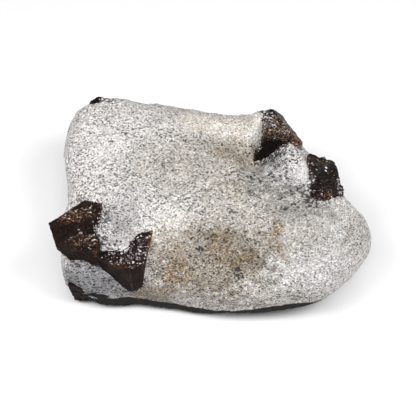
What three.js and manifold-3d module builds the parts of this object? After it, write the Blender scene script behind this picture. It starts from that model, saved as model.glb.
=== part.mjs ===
// A hand specimen of silvery mica schist that carries two staurolite crosses, a crystal
// in its lower corner and a crystal on its back edge. Millimetres, +Z up. The stone rests
// on a flat patch of its underside at Z = 0, +X runs along its length and +Y to its back.

import * as THREE from 'three';
import { ConvexGeometry } from 'three/addons/geometries/ConvexGeometry.js';
import { mergeVertices } from 'three/addons/utils/BufferGeometryUtils.js';
import Module from 'manifold-3d';

const wasm = await Module();
wasm.setup();

// ---------------------------------------------------------------- driving dimensions

// The line round the stone where it is widest, counter-clockwise from the right end.
const RIM = [
  [48.3, -13.0, 13], [45.8, -6.6, 15], [41.2, -1.0, 17], [40.0, 6.0, 18],
  [36.5, 11.0, 18], [31.8, 16.0, 18], [27.5, 24.0, 17], [22.0, 31.0, 16],
  [14.0, 34.4, 15], [4.0, 34.6, 15], [-9.0, 36.4, 15], [-22.0, 36.2, 15],
  [-31.5, 36.8, 16], [-40.2, 35.0, 16], [-45.4, 28.5, 15], [-46.0, 18.0, 14],
  [-44.6, 8.0, 13], [-43.4, -3.0, 12], [-43.4, -16.0, 11], [-42.9, -24.8, 13],
  [-39.2, -29.2, 14], [-30.5, -30.6, 7], [-22.0, -30.3, 5], [-14.0, -31.6, 4.6],
  [-5.0, -32.4, 4], [5.0, -34.8, 4.8], [13.5, -34.4, 6], [22.5, -35.1, 7.6],
  [31.0, -33.5, 10], [39.8, -27.8, 12], [46.2, -20.8, 13],
];

// The stone's middle, from which the rim and the faces are laid out.
const CORE = { x: 0, y: -1 };

// The upper face is a gently sloping plane with swells (height above zero) and hollows.
// Each is [height, x, y, half-width along x, half-width along y].
const FACE_HEIGHT = 25.2;
const FACE_SLOPE = 0.13;
const SWELLS = [
  [2.4, -33, 25, 17, 12],
  [-2.8, 4, 22, 13, 13],
  [6.6, 25.5, 10, 5, 6.5],
  [2.8, -26, -11.5, 5.5, 8],
  [4.4, -29.4, -20.0, 4.6, 5.0],
  [-4.0, -17, -28, 7, 6],
  [2.2, 33, -17, 13, 10],
  [-1.2, 12, -8, 10, 8],
  [-5, -28, -30, 5, 4],
  [-2.6, -20.5, -17, 6.5, 5],
  [-4.6, 12.4, 10.4, 4.6, 5.4],
  [7.4, 15.2, 23.5, 3.6, 5.5],
  [-3.4, 18, 12.2, 5, 4.4],
];

// How far the underside is sunk before it is cut off flat at Z = 0.
const UNDERSIDE_SINK = 2.4;

// Squareness of the stone's edges: 2 is an ellipse, more is boxier. It is greatest on the
// left and falls away round the stone.
const SQUARE_UPPER = 2.4;
const SQUARE_UNDER = 2.3;
const SQUARE_EXTRA = 3.0;
const SQUARE_FALL = 2.0;
const SQUARE_TOWARDS = THREE.MathUtils.degToRad(175);

// Worn lumps all over the stone: waves of these lengths, each this part of its length high.
const LUMP_WAVES = 12;
const LUMP_LENGTH = [7, 24];
const LUMP_HEIGHT = 0.0085;

// Cells from the middle of a face to the rim. Each face is a square grid twice this wide.
// Crowding above 1 draws the cells together towards the middle.
const CELLS = 20;
const CROWDING = 1.25;

// Points along the rim from which its one-degree table is filled in.
const RIM_STEPS = 1440;

// Mesh points nearer than this are one, three planes with a smaller determinant don't meet,
// and a corner may stand this far outside a face.
const SAME_POINT = 1e-3;
const LEAST_DETERMINANT = 1e-3;
const SLACK = 1e-6;

// Clearance between a crystal and the pocket it sits in.
const FIT_GAP = 0.3;

// Crystals, as flat faces round a point. A face is [azimuth, elevation, distance] of its
// outward direction, in degrees and millimetres. Cross arms run on into the schist.
const LEFT_ARM_OUT = {
  at: [-35.5, -18.5, 18],
  faces: [
    [134.5, -17, 6.9], [-162, -29, 6.0], [-97, -8, 8.3], [75.5, 12, 11.6],
    [0, 14, 5.2], [0, 90, 6.5], [10, -60, 10], [0, -90, 9.4],
  ],
};
const LEFT_ARM_FRONT = {
  at: [-25, -22, 14],
  faces: [
    [-114.6, -3, 7.4], [-69.2, -3, 9.6], [-11, -3, 7.2], [65, 3, 11],
    [115, 3, 10], [172, 3, 9], [-60, 86, 7], [0, -90, 5.8], [-80, -48, 9.4],
    [-140, -45, 7.0],
  ],
};
const RIGHT_ARM_BACK = {
  at: [18, 19, 24],
  faces: [
    [-96, 8, 6.9], [25, 45, 7.8], [25, -4, 7.7], [102.7, -6, 6.2],
    [185, 19, 3.6], [-24, 6, 12.6], [0, 90, 6], [0, -90, 8],
  ],
};
const RIGHT_ARM_END = {
  at: [34, 2, 20],
  faces: [
    [81, -4, 6.6], [58, -4, 6.0], [13, -6, 4.8], [-61, -3, 8.2], [-97, 4, 9.4],
    [180, 0, 4.2], [-75, 80, 5.2], [0, -90, 7], [40, -50, 6.6],
  ],
};
const RIGHT_CROSS_CORE = {
  at: [26, 10, 16],
  faces: [
    [-55, 0, 8], [125, 0, 8], [35, 0, 6], [-145, 0, 6], [0, 90, 5], [0, -90, 5],
  ],
};
const CORNER_CRYSTAL = {
  at: [-37, -24, 5],
  faces: [
    [172, -4, 3.3], [-95, -9, 4.9], [20, 80, 5.6], [95, 0, 2.6], [15, 38, 3.0],
    [0, -90, 3.6],
  ],
};
const EDGE_CRYSTAL = {
  at: [-36, 31, 23.5],
  faces: [
    [132, 12, 4.0], [175, 8, 3.2], [70, 8, 4.6], [-60, 0, 3], [0, 4, 5],
    [-120, 0, 3], [120, 79, 4.2], [0, -90, 6], [100, -25, 3.4],
  ],
};

// Where the model's own origin lies: under the middle of its bounding box.
const PLACE = new THREE.Vector3(-0.751, -1.277, 0);

// ---------------------------------------------------------------- materials

const SCHIST = { color: 0xc9c7c3, roughness: 0.62, metalness: 0.0 };
const STAUROLITE = { color: 0x35231a, roughness: 0.5, metalness: 0.0 };

// ---------------------------------------------------------------- the stone

const rimCurve = new THREE.CatmullRomCurve3(
  RIM.map(([x, y, z]) => new THREE.Vector3(x, y, z)), true, 'catmullrom', 0.5);

// The rim as a table of distance from the core and height, one row for each degree.
function tabulateRim() {
  const rows = Array(361).fill(null);
  let before = null;
  for (let i = 0; i <= 2 * RIM_STEPS; i += 1) {
    const p = rimCurve.getPoint((i / RIM_STEPS) % 1);
    const turn = THREE.MathUtils.radToDeg(Math.atan2(p.y - CORE.y, p.x - CORE.x));
    const radius = Math.hypot(p.x - CORE.x, p.y - CORE.y);
    const now = { angle: (turn + 360) % 360, radius, z: p.z };
    if (before && now.angle > before.angle) {
      for (let d = Math.ceil(before.angle); d <= now.angle; d += 1) {
        const k = (d - before.angle) / (now.angle - before.angle);
        rows[d] = {
          radius: THREE.MathUtils.lerp(before.radius, now.radius, k),
          z: THREE.MathUtils.lerp(before.z, now.z, k),
        };
      }
    }
    before = now;
  }
  rows[0] = rows[0] ?? rows[359];
  rows[360] = rows[0];
  return rows;
}

const rimRows = tabulateRim();

function rimAt(angle) {
  const degrees = ((THREE.MathUtils.radToDeg(angle) % 360) + 360) % 360;
  const row = Math.floor(degrees);
  const k = degrees - row;
  return {
    radius: THREE.MathUtils.lerp(rimRows[row].radius, rimRows[row + 1].radius, k),
    z: THREE.MathUtils.lerp(rimRows[row].z, rimRows[row + 1].z, k),
  };
}

// Height of the upper face above the point (x, y).
function faceHeight(x, y) {
  let height = FACE_HEIGHT + FACE_SLOPE * y;
  for (const [rise, cx, cy, wx, wy] of SWELLS) {
    height += rise * Math.exp(-(((x - cx) / wx) ** 2) - (((y - cy) / wy) ** 2));
  }
  return height;
}

// Sum of waves whose directions follow the golden angle over a sphere.
function lumps(p) {
  const golden = Math.PI * (3 - Math.sqrt(5));
  let sum = 0;
  for (let k = 0; k < LUMP_WAVES; k += 1) {
    const up = 1 - (2 * k + 1) / LUMP_WAVES;
    const flat = Math.sqrt(1 - up * up);
    const along = p.x * flat * Math.cos(golden * k) + p.y * flat * Math.sin(golden * k) + p.z * up;
    const share = ((k * 5) % LUMP_WAVES) / LUMP_WAVES;
    const length = THREE.MathUtils.lerp(LUMP_LENGTH[0], LUMP_LENGTH[1], share);
    sum += LUMP_HEIGHT * length * Math.sin(2 * Math.PI * along / length + k);
  }
  return sum;
}

// Turn of the square grid's point (u, v) round the core, and its place from core (0) to rim (1).
function discOf(u, v) {
  const out = Math.max(Math.abs(u), Math.abs(v));
  if (out === 0) {
    return { out, turn: 0 };
  }
  if (Math.abs(u) >= Math.abs(v)) {
    return { out, turn: (u < 0 ? Math.PI : 0) + (Math.PI / 4) * (v / u) };
  }
  return { out, turn: (v < 0 ? 1.5 : 0.5) * Math.PI - (Math.PI / 4) * (u / v) };
}

function stonePoint(u, v, upper) {
  const { out, turn } = discOf(u, v);
  const rim = rimAt(turn);
  const squareness = (upper ? SQUARE_UPPER : SQUARE_UNDER)
    + SQUARE_EXTRA * Math.exp(SQUARE_FALL * (Math.cos(turn - SQUARE_TOWARDS) - 1));
  const roll = (Math.PI / 2) * out ** CROWDING;
  const reach = rim.radius * Math.sin(roll) ** (2 / squareness);
  const rise = out < 1 ? Math.cos(roll) ** (2 / squareness) : 0;
  const x = CORE.x + reach * Math.cos(turn);
  const y = CORE.y + reach * Math.sin(turn);
  const z = upper
    ? rim.z + (faceHeight(x, y) - rim.z) * rise
    : rim.z - (rim.z + UNDERSIDE_SINK) * rise;
  return new THREE.Vector3(x, y, z);
}

// The closed stone: an upper and a lower square grid that share the rim.
function stoneGeometry() {
  const side = 2 * CELLS + 1;
  const points = [];
  const indices = [];
  for (const upper of [true, false]) {
    const start = points.length;
    for (let i = 0; i < side; i += 1) {
      for (let j = 0; j < side; j += 1) {
        points.push(stonePoint(i / CELLS - 1, j / CELLS - 1, upper));
      }
    }
    for (let i = 0; i < side - 1; i += 1) {
      for (let j = 0; j < side - 1; j += 1) {
        const a = start + i * side + j;
        const [b, c, d] = [a + side, a + side + 1, a + 1];
        const outwards = (i < CELLS) === (j < CELLS);
        const pair = outwards ? [a, b, c, a, c, d] : [a, b, d, b, c, d];
        indices.push(...(upper ? pair : pair.reverse()));
      }
    }
  }
  const loose = new THREE.BufferGeometry().setFromPoints(points);
  loose.setIndex(indices);
  const geometry = mergeVertices(loose, SAME_POINT);
  geometry.computeVertexNormals();
  const position = geometry.attributes.position;
  const normal = geometry.attributes.normal;
  for (let i = 0; i < position.count; i += 1) {
    const p = new THREE.Vector3().fromBufferAttribute(position, i);
    const n = new THREE.Vector3().fromBufferAttribute(normal, i);
    p.addScaledVector(n, lumps(p));
    position.setXYZ(i, p.x, p.y, Math.max(p.z, 0));
  }
  return geometry;
}

// ---------------------------------------------------------------- the crystals

function direction(azimuth, elevation) {
  const a = THREE.MathUtils.degToRad(azimuth);
  const e = THREE.MathUtils.degToRad(elevation);
  return new THREE.Vector3(Math.cos(a) * Math.cos(e), Math.sin(a) * Math.cos(e), Math.sin(e));
}

// The point where three planes n.p = d meet, or null where they don't.
function meet(one, two, three) {
  const m = new THREE.Matrix3().set(...one.n.toArray(), ...two.n.toArray(), ...three.n.toArray());
  if (Math.abs(m.determinant()) < LEAST_DETERMINANT) {
    return null;
  }
  return new THREE.Vector3(one.d, two.d, three.d).applyMatrix3(m.invert());
}

// A crystal's flat-faced solid, grown outward by `extra` for the pocket that holds it.
function crystalGeometry({ at, faces }, extra = 0) {
  const planes = faces.map(([azimuth, elevation, distance]) => (
    { n: direction(azimuth, elevation), d: distance + extra }));
  const corners = [];
  for (let i = 0; i < planes.length; i += 1) {
    for (let j = i + 1; j < planes.length; j += 1) {
      for (let k = j + 1; k < planes.length; k += 1) {
        const p = meet(planes[i], planes[j], planes[k]);
        if (p && planes.every(({ n, d }) => n.dot(p) <= d + SLACK)) {
          corners.push(p);
        }
      }
    }
  }
  return new ConvexGeometry(corners).translate(...at);
}

// ---------------------------------------------------------------- joining and cutting

function solidOf(geometry) {
  const bare = geometry.clone();
  bare.deleteAttribute('normal');
  bare.deleteAttribute('uv');
  const merged = mergeVertices(bare, SAME_POINT);
  return new wasm.Manifold(new wasm.Mesh({
    numProp: 3,
    vertProperties: new Float32Array(merged.attributes.position.array),
    triVerts: new Uint32Array(merged.index.array),
  }));
}

function geometryOf(solid) {
  const mesh = solid.getMesh();
  const geometry = new THREE.BufferGeometry();
  geometry.setAttribute('position', new THREE.BufferAttribute(mesh.vertProperties, 3));
  geometry.setIndex(new THREE.BufferAttribute(mesh.triVerts, 1));
  return geometry;
}

// Crystals that cross are one twinned solid.
function twin(crystals, extra = 0) {
  return crystals
    .map((crystal) => solidOf(crystalGeometry(crystal, extra)))
    .reduce((whole, piece) => whole.add(piece));
}

function named(name, solid, finish) {
  const mesh = new THREE.Mesh(geometryOf(solid), new THREE.MeshStandardMaterial(finish));
  mesh.name = name;
  return mesh;
}

// ---------------------------------------------------------------- the specimen

const CRYSTALS = {
  left_cross: [LEFT_ARM_OUT, LEFT_ARM_FRONT],
  right_cross: [RIGHT_ARM_BACK, RIGHT_ARM_END, RIGHT_CROSS_CORE],
  corner_crystal: [CORNER_CRYSTAL],
  edge_crystal: [EDGE_CRYSTAL],
};

function buildSpecimen() {
  const group = new THREE.Group();
  let stone = solidOf(stoneGeometry());
  for (const [name, crystals] of Object.entries(CRYSTALS)) {
    stone = stone.subtract(twin(crystals, FIT_GAP));
    group.add(named(name, twin(crystals), STAUROLITE));
  }
  group.add(named('matrix', stone, SCHIST));
  group.position.copy(PLACE);
  return group;
}

export default buildSpecimen();
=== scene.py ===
# %% [markdown]
# # Two staurolite crosses in mica schist
#
# The specimen is a loose piece of fine mica schist. Out of its top stand two twinned
# crosses of dark brown staurolite, with the tip of a crystal on the back edge and another
# crystal low in one corner. This lesson dresses the plain solids of the specimen.
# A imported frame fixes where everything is, so the first step is to load it and to keep
# its box: nothing that is made here may grow past that box.

# %% Load the frame
import math
import bpy
import numpy as np
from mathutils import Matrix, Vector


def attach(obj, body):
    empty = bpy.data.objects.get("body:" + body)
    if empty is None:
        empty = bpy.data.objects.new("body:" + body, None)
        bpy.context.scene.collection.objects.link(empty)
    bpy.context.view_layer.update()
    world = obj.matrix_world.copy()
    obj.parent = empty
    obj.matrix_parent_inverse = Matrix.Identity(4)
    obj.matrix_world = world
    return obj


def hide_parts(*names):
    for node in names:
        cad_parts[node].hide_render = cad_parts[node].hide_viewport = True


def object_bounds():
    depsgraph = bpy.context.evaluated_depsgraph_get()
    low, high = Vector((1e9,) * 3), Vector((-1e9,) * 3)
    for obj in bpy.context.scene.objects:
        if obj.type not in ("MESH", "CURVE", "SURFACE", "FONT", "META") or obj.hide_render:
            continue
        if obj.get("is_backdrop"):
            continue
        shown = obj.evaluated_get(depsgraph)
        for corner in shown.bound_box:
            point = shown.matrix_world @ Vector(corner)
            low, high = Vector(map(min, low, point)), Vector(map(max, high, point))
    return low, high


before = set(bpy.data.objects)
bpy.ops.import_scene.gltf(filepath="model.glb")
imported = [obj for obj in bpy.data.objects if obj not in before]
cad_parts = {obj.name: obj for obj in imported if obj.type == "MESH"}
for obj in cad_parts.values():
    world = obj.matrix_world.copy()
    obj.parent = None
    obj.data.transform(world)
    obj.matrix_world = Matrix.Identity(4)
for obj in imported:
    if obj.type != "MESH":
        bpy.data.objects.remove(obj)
cad_low, cad_high = (np.array(corner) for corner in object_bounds())
MM = 0.001
print("nodes:", sorted(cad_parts))
print("box in mm:", np.round((cad_high - cad_low) / MM, 1))

# %% [markdown]
# ## A closed grid for a closed stone
#
# A pebble could be sculpted, or grown from a sphere of longitudes and latitudes, but such
# a sphere crowds its points at two poles. A pillow has no poles: two square sheets, one
# above and one below, share their outline. Every ring of the square becomes a ring round
# the stone, so a point is known by how far out it is (0 in the middle, 1 on the outline),
# its turn round the middle, and the sheet that it is on.


# %% The pillow grid
def pillow(cells):
    """Two square sheets, 2 x cells quads wide, that share their outline.

    Returns out, turn and sheet (+1 above, -1 below) for each point, and the quads facing
    out. out is the larger of |u| and |v|. On the sides where |u| is larger, turn grows by
    an eighth of a circle times v / u from the side's middle, and likewise on the others.
    """
    side = 2 * cells + 1
    i, j = np.meshgrid(np.arange(side), np.arange(side), indexing="ij")
    inner = (i > 0) & (i < side - 1) & (j > 0) & (j < side - 1)
    above = np.arange(side * side).reshape(side, side)
    below = above.copy()
    below[inner] = side * side + np.arange(inner.sum())
    u = np.concatenate([i.ravel(), i[inner]]) / cells - 1
    v = np.concatenate([j.ravel(), j[inner]]) / cells - 1
    sheet = np.ones(u.size)
    sheet[side * side:] = -1
    out = np.maximum(abs(u), abs(v))
    wide = abs(u) >= abs(v)
    main = np.where(wide, u, v)
    other = np.where(wide, v, -u)
    turn = np.where(wide, 0, np.pi / 2) + np.where(main < 0, np.pi, 0)
    turn = turn + np.pi / 4 * other / np.where(main == 0, 1, main)

    def quads(sheet_points):
        corners = [sheet_points[:-1, :-1], sheet_points[1:, :-1],
                   sheet_points[1:, 1:], sheet_points[:-1, 1:]]
        return np.stack(corners, axis=-1).reshape(-1, 4)

    return out, turn, sheet, np.concatenate([quads(above), quads(below)[:, ::-1]])


def outward_normals(points, quads):
    """Normal of each point: the sum of its quads' cross products of diagonals, made unit."""
    across = points[quads[:, 2]] - points[quads[:, 0]]
    along = points[quads[:, 3]] - points[quads[:, 1]]
    facing = np.cross(across, along)
    total = np.zeros_like(points)
    for axis in range(3):
        total[:, axis] = np.bincount(
            quads.ravel(), np.repeat(facing[:, axis], 4), minlength=len(points))
    return total / np.linalg.norm(total, axis=1, keepdims=True)


print("a 4-cell pillow has", len(pillow(4)[0]), "points")

# %% [markdown]
# ## Noise for stone
#
# Broken rock is rough at every size. Blender's Displace modifier could do this with its
# own noise textures, but here the roughness has to differ from place to place, so it is
# worked out with the points: a lattice of random numbers, blended smoothly between its
# corners. Stretching the lattice turns lumps into layers.


# %% Smooth noise
LATTICE = 32


def soft_noise(points, size, seed):
    """Random numbers from -1 to 1 sit on a lattice of this size. A point takes a blend of
    the eight corners round it, each weighted by 3t^2 - 2t^3 along each axis."""
    lattice = np.random.default_rng(seed).uniform(-1, 1, (LATTICE,) * 3)
    place = points / np.asarray(size, float)
    cell = np.floor(place).astype(int)
    t = place - cell
    t = t * t * (3 - 2 * t)
    total = np.zeros(len(points))
    for corner in np.ndindex(2, 2, 2):
        weight = np.prod(np.where(corner, t, 1 - t), axis=1)
        x, y, z = ((cell + corner) % LATTICE).T
        total += weight * lattice[x, y, z]
    return total


def smooth_step(value, low, high):
    """0 below low, 1 above high, and 3t^2 - 2t^3 between them."""
    t = np.clip((value - low) / (high - low), 0, 1)
    return t * t * (3 - 2 * t)


# %% [markdown]
# ## The form of the schist
#
# The stone is laid out from a rim, the line round it where it is widest, and from an
# upper face that slopes gently and has swells and hollows. Between the rim and the faces
# it rolls over like a worn edge. The same sizes shaped the solid in the frame, in
# millimetres, and here the surface is laid out again with cells of about half a
# millimetre, as fine as the larger of the schist's own mica flakes. A row of the rim is a
# place, and a row of the swells is a rise, the place of its middle and its two widths.
# MIDDLE is how far the layout moves, so that its box has the frame's origin under its
# middle.

# %% Sizes of the stone
MIDDLE = np.array([-0.751, -1.277, 0.0])
RIM = np.array([
    [48.3, -13.0, 13], [45.8, -6.6, 15], [41.2, -1.0, 17], [40.0, 6.0, 18],
    [36.5, 11.0, 18], [31.8, 16.0, 18], [27.5, 24.0, 17], [22.0, 31.0, 16],
    [14.0, 34.4, 15], [4.0, 34.6, 15], [-9.0, 36.4, 15], [-22.0, 36.2, 15],
    [-31.5, 36.8, 16], [-40.2, 35.0, 16], [-45.4, 28.5, 15], [-46.0, 18.0, 14],
    [-44.6, 8.0, 13], [-43.4, -3.0, 12], [-43.4, -16.0, 11], [-42.9, -24.8, 13],
    [-39.2, -29.2, 14], [-30.5, -30.6, 7], [-22.0, -30.3, 5], [-14.0, -31.6, 4.6],
    [-5.0, -32.4, 4], [5.0, -34.8, 4.8], [13.5, -34.4, 6], [22.5, -35.1, 7.6],
    [31.0, -33.5, 10], [39.8, -27.8, 12], [46.2, -20.8, 13],
])
CORE = np.array([0.0, -1.0])
FACE_HEIGHT = 25.2
FACE_SLOPE = 0.13
SWELLS = [
    [2.4, -33, 25, 17, 12], [-2.8, 4, 22, 13, 13], [6.6, 25.5, 10, 5, 6.5],
    [2.8, -26, -11.5, 5.5, 8], [4.4, -29.4, -20.0, 4.6, 5.0], [-4.0, -17, -28, 7, 6],
    [2.2, 33, -17, 13, 10], [-1.2, 12, -8, 10, 8], [-5, -28, -30, 5, 4],
    [-2.6, -20.5, -17, 6.5, 5], [-4.6, 12.4, 10.4, 4.6, 5.4], [7.4, 15.2, 23.5, 3.6, 5.5],
    [-3.4, 18, 12.2, 5, 4.4],
]
UNDERSIDE_SINK = 2.4
SQUARE_UPPER = 2.4
SQUARE_UNDER = 2.3
SQUARE_EXTRA = 3.0
SQUARE_FALL = 2.0
SQUARE_TOWARDS = math.radians(175)
LUMP_WAVES = 12
LUMP_LENGTH = (7, 24)
LUMP_HEIGHT = 0.0085
LUMP_SHUFFLE = 5
CROWDING = 1.25
RIM_STEPS = 2880
print("the rim has", len(RIM), "points and the face", len(SWELLS), "swells and hollows")


# %% The stone's smooth form
def rim_line(steps):
    """Catmull-Rom curve: each stretch is the cubic that leaves and meets its ends in the
    directions of half the chords between their neighbours."""
    place = np.arange(steps) / steps * len(RIM)
    first = np.floor(place).astype(int)
    t = (place - first)[:, None]
    before, start, end, after = (RIM[(first + k) % len(RIM)] for k in (-1, 0, 1, 2))
    leave = (end - before) / 2
    meet = (after - start) / 2
    return (start + leave * t + (3 * (end - start) - 2 * leave - meet) * t**2
            + (2 * (start - end) + leave + meet) * t**3)


def face_height(x, y):
    """A sloping plane plus one bell-shaped swell for each row of the table."""
    height = FACE_HEIGHT + FACE_SLOPE * y
    for rise, cx, cy, wx, wy in SWELLS:
        height = height + rise * np.exp(-((x - cx) / wx) ** 2 - ((y - cy) / wy) ** 2)
    return height


def rim_at(turn, sheet):
    """Radius, height and squareness of the rim in a direction from the core."""
    line = rim_line(RIM_STEPS)
    turns = np.arctan2(line[:, 1] - CORE[1], line[:, 0] - CORE[0])
    radii = np.hypot(line[:, 0] - CORE[0], line[:, 1] - CORE[1])
    extra = SQUARE_EXTRA * np.exp(SQUARE_FALL * (np.cos(turn - SQUARE_TOWARDS) - 1))
    return (np.interp(turn, turns, radii, period=2 * np.pi),
            np.interp(turn, turns, line[:, 2], period=2 * np.pi),
            np.where(sheet > 0, SQUARE_UPPER, SQUARE_UNDER) + extra)


def stone_form(out, turn, sheet):
    """From the middle of a face to the rim the surface follows a quarter of a superellipse:
    reach is R sin^(2/n) and rise is cos^(2/n) of the roll angle, with squareness n."""
    radius, rim_z, n = rim_at(turn, sheet)
    roll = np.pi / 2 * out**CROWDING
    reach = radius * np.sin(roll) ** (2 / n)
    rise = np.clip(np.cos(roll), 0, 1) ** (2 / n)
    x = CORE[0] + reach * np.cos(turn)
    y = CORE[1] + reach * np.sin(turn)
    above = rim_z + (face_height(x, y) - rim_z) * rise
    below = rim_z - (rim_z + UNDERSIDE_SINK) * rise
    return np.stack([x, y, np.where(sheet > 0, above, below)], axis=1)


def height_over_stone(points):
    """Height less that of the upper face, which rises from the rim by the face's height
    over it times (1 - r^n)^(1/n), where r is the reach over the radius. Beyond the rim it
    is less the rim's height."""
    x, y, z = points.T
    radius, rim_z, n = rim_at(np.arctan2(y - CORE[1], x - CORE[0]), 1)
    r = np.hypot(x - CORE[0], y - CORE[1]) / radius
    rise = np.clip(1 - r**n, 0, 1) ** (1 / n)
    return z - rim_z - (face_height(x, y) - rim_z) * rise


def lumps(points):
    """Sum of sine waves whose directions follow the golden angle over a sphere. Each one's
    height is the same small part of its length."""
    golden = np.pi * (3 - math.sqrt(5))
    total = 0
    for k in range(LUMP_WAVES):
        up = 1 - (2 * k + 1) / LUMP_WAVES
        flat = math.sqrt(1 - up * up)
        way = np.array([flat * math.cos(golden * k), flat * math.sin(golden * k), up])
        share = k * LUMP_SHUFFLE % LUMP_WAVES / LUMP_WAVES
        length = LUMP_LENGTH[0] + (LUMP_LENGTH[1] - LUMP_LENGTH[0]) * share
        total = total + LUMP_HEIGHT * length * np.sin(2 * np.pi * (points @ way) / length + k)
    return total


# %% [markdown]
# ## Staurolite prisms
#
# A staurolite crystal is a six-sided prism with flat ends. A convex crystal is the space
# behind all of its faces, so it is enough to name each face by where it looks, as an
# azimuth and an elevation in degrees, and by how far it lies from the crystal's middle in
# millimetres. Seen from the middle along a direction w, a face with normal n at distance d
# is met at d / (n.w), and the nearest face wins. The same lists tell how far any point is
# from a crystal.

# %% Faces of the crystals
LEFT_ARM_OUT = ([-35.5, -18.5, 18], [
    [134.5, -17, 6.9], [-162, -29, 6.0], [-97, -8, 8.3], [75.5, 12, 11.6],
    [0, 14, 5.2], [0, 90, 6.5], [10, -60, 10], [0, -90, 9.4],
])
LEFT_ARM_FRONT = ([-25, -22, 14], [
    [-114.6, -3, 7.4], [-69.2, -3, 9.6], [-11, -3, 7.2], [65, 3, 11],
    [115, 3, 10], [172, 3, 9], [-60, 86, 7], [0, -90, 5.8], [-80, -48, 9.4],
    [-140, -45, 7.0],
])
RIGHT_ARM_BACK = ([18, 19, 24], [
    [-96, 8, 6.9], [25, 45, 7.8], [25, -4, 7.7], [102.7, -6, 6.2],
    [185, 19, 3.6], [-24, 6, 12.6], [0, 90, 6], [0, -90, 8],
])
RIGHT_ARM_END = ([34, 2, 20], [
    [81, -4, 6.6], [58, -4, 6.0], [13, -6, 4.8], [-61, -3, 8.2], [-97, 4, 9.4],
    [180, 0, 4.2], [-75, 80, 5.2], [0, -90, 7], [40, -50, 6.6],
])
RIGHT_CROSS_CORE = ([26, 10, 16], [
    [-55, 0, 8], [125, 0, 8], [35, 0, 6], [-145, 0, 6], [0, 90, 5], [0, -90, 5],
])
CORNER_CRYSTAL = ([-37, -24, 5], [
    [172, -4, 3.3], [-95, -9, 4.9], [20, 80, 5.6], [95, 0, 2.6], [15, 38, 3.0],
    [0, -90, 3.6],
])
EDGE_CRYSTAL = ([-36, 31, 23.5], [
    [132, 12, 4.0], [175, 8, 3.2], [70, 8, 4.6], [-60, 0, 3], [0, 4, 5],
    [-120, 0, 3], [120, 79, 4.2], [0, -90, 6], [100, -25, 3.4],
])


def face_planes(faces):
    """Unit normals and distances of a crystal's faces."""
    azimuth, elevation, distance = np.array(faces, float).T
    a, e = np.radians(azimuth), np.radians(elevation)
    normals = np.stack([np.cos(a) * np.cos(e), np.sin(a) * np.cos(e), np.sin(e)], axis=1)
    return normals, distance


def distance_to(crystal, points):
    """Largest and second largest of n.p - d over the crystal's faces."""
    normals, distances = face_planes(crystal[1])
    beyond = (points - np.array(crystal[0])) @ normals.T - distances
    beyond = np.sort(beyond, axis=1)
    return beyond[:, -1], beyond[:, -2]


CROSSES_AND_TIPS = [LEFT_ARM_OUT, LEFT_ARM_FRONT, RIGHT_ARM_BACK, RIGHT_ARM_END,
                    CORNER_CRYSTAL, EDGE_CRYSTAL]
print("faces of the crystals:", sum(len(faces) for centre, faces in CROSSES_AND_TIPS))


def distance_to_crystals(points):
    """Distance to the nearest crystal: the least over the crystals of the largest n.p - d."""
    return np.min([distance_to(crystal, points)[0] for crystal in CROSSES_AND_TIPS], axis=0)


# %% [markdown]
# ## The skin of the schist
#
# Close up, schist is a pack of tiny mica plates, which break out in small steps. On the
# flanks the layers show edge-on as ledges that run round the stone, and against a crystal
# the rock breaks off in crumbs, which makes their contact a ragged line. Each kind of
# roughness has a size for its lattice, a height, and the places where it is strong, all in
# millimetres. The underside stays cut off flat where the stone rests.

# %% Surface of the schist
STONE_CELLS = 110
GRAIN = [(4.5, 0.16), (1.7, 0.15), (0.8, 0.12), (0.5, 0.08)]
CRUMBS = [(1.9, 0.50), (0.9, 0.30)]
CRUMB_REACH = 1.4
CRUMB_SEED = 30
LEDGE_SIZE = (16, 16, 1.5)
LEDGE_HEIGHT = 0.34
LEDGE_SEED = 9
SKIN_DROP = 0.10


def schist_surface():
    """The smooth form, moved along its normals by the lumps, by sizes of grain, on steep
    flanks by ledges, and by crumbs that fade as exp(-distance) from a crystal. The ledges'
    noise is stretched flat, so they run level."""
    out, turn, sheet, quads = pillow(STONE_CELLS)
    points = stone_form(out, turn, sheet)
    normals = outward_normals(points, quads)
    points = points + normals * lumps(points)[:, None]
    relief = -SKIN_DROP
    for seed, (size, height) in enumerate(GRAIN):
        relief = relief + height * soft_noise(points, size, seed)
    beside = np.exp(-abs(distance_to_crystals(points)) / CRUMB_REACH)
    for seed, (size, height) in enumerate(CRUMBS):
        relief = relief + height * beside * soft_noise(points, size, CRUMB_SEED + seed)
    steep = 1 - abs(normals[:, 2])
    relief = relief + LEDGE_HEIGHT * steep * soft_noise(points, LEDGE_SIZE, LEDGE_SEED)
    points = points + normals * relief[:, None]
    return points, quads


# %% [markdown]
# ## Meshes from arrays
#
# Blender takes whole arrays of points and quads through from_pydata, which is far faster
# than adding them one by one. Every piece lies where the frame has it, with its object at
# the origin, and no point leaves the frame's box.


# %% Put an array into a mesh
def mesh_piece(name, points, quads):
    """One mesh object from points in millimetres. The points move to the frame's middle
    and are held within its box."""
    place = np.clip((points + MIDDLE) * MM, cad_low, cad_high)
    mesh = bpy.data.meshes.new(name)
    mesh.from_pydata(place, [], quads)
    mesh.shade_smooth()
    piece = bpy.data.objects.new(name, mesh)
    bpy.context.scene.collection.objects.link(piece)
    return piece


def field(piece, name, values):
    """Stores one number for each point, which materials read by name."""
    layer = piece.data.attributes.new(name, "FLOAT", "POINT")
    layer.data.foreach_set("value", np.asarray(values, np.float32))


def points_of(piece):
    """The piece's points as an array, in millimetres from the layout's own origin."""
    flat = np.empty(len(piece.data.vertices) * 3, np.float32)
    piece.data.vertices.foreach_get("co", flat)
    return flat.reshape(-1, 3).astype(float) / MM - MIDDLE


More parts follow.
